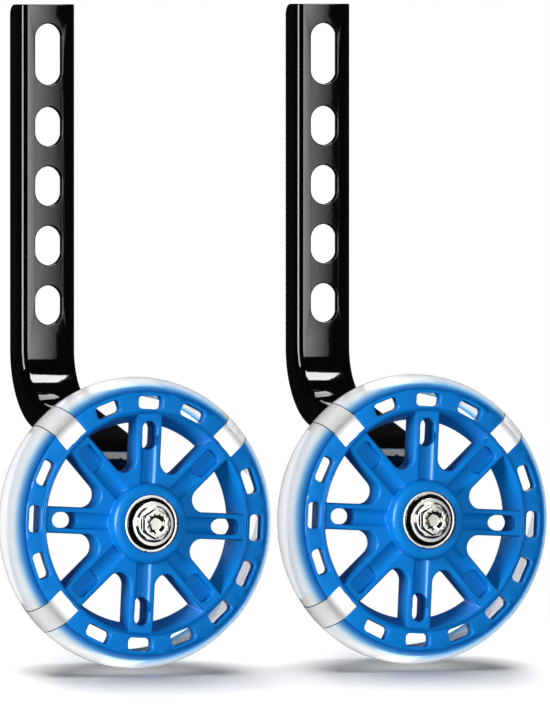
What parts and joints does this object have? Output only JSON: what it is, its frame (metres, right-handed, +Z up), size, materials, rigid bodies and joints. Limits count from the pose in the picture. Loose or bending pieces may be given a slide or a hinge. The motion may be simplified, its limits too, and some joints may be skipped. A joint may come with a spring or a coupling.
{
  "type": "bicycle training wheels",
  "caption": "Pair of bicycle training wheels: slotted black channel brackets, blue spoked cores, clear round tyres with light modules, ball bearings.",
  "frame": {"origin": "on the ground, in the middle of the pair's length and depth", "axes": "+Z up along the upright legs, -Y to the wheels' front faces, +X from the left unit to the right"},
  "size_m": [0.2252, 0.1112, 0.25],
  "materials": {
    "black_paint": "gloss",
    "blue_plastic": "satin",
    "clear_tyre": "clear gloss",
    "clear_lens": "clear gloss",
    "white_plastic": "gloss",
    "bright_steel": "bright",
    "bearing_steel": "ground",
    "seal_rubber": "satin",
    "zinc_steel": "zinc plated",
    "nylon": "matt"
  },
  "bodies": {
    "brackets": {"left_bracket": "black_paint", "left_axle_bolt": "bright_steel", "left_head_washer": "bright_steel", "left_front_inner_ring": "bearing_steel", "left_rear_inner_ring": "bearing_steel", "left_bearing_spacer": "zinc_steel", "left_rear_bush": "zinc_steel", "left_nut_washer": "zinc_steel", "left_lock_nut": "zinc_steel", "left_nylon_insert": "nylon", "right_bracket": "black_paint", "right_axle_bolt": "bright_steel", "right_head_washer": "bright_steel", "right_front_inner_ring": "bearing_steel", "right_rear_inner_ring": "bearing_steel", "right_bearing_spacer": "zinc_steel", "right_rear_bush": "zinc_steel", "right_nut_washer": "zinc_steel", "right_lock_nut": "zinc_steel", "right_nylon_insert": "nylon"},
    "left_wheel": {"left_hub": "blue_plastic", "left_tyre": "clear_tyre", "left_front_outer_ring": "bearing_steel", "left_rear_outer_ring": "bearing_steel", "left_front_seal": "seal_rubber", "left_rear_seal": "seal_rubber", "left_led_housing_1": "white_plastic", "left_led_housing_2": "white_plastic", "left_led_housing_3": "white_plastic", "left_led_lens_1": "clear_lens", "left_led_lens_2": "clear_lens", "left_led_lens_3": "clear_lens"},
    "right_wheel": {"right_hub": "blue_plastic", "right_tyre": "clear_tyre", "right_front_outer_ring": "bearing_steel", "right_rear_outer_ring": "bearing_steel", "right_front_seal": "seal_rubber", "right_rear_seal": "seal_rubber", "right_led_housing_1": "white_plastic", "right_led_housing_2": "white_plastic", "right_led_housing_3": "white_plastic", "right_led_lens_1": "clear_lens", "right_led_lens_2": "clear_lens", "right_led_lens_3": "clear_lens"}
  },
  "joints": [
    {"name": "left_wheel_spin", "type": "hinge", "parent": "brackets", "child": "left_wheel", "pos_m": [-0.0576, -0.03495, 0.055], "axis": [0, 1, 0], "continuous": true},
    {"name": "right_wheel_spin", "type": "hinge", "parent": "brackets", "child": "right_wheel", "pos_m": [0.0576, -0.03495, 0.055], "axis": [0, 1, 0], "continuous": true}
  ]
}
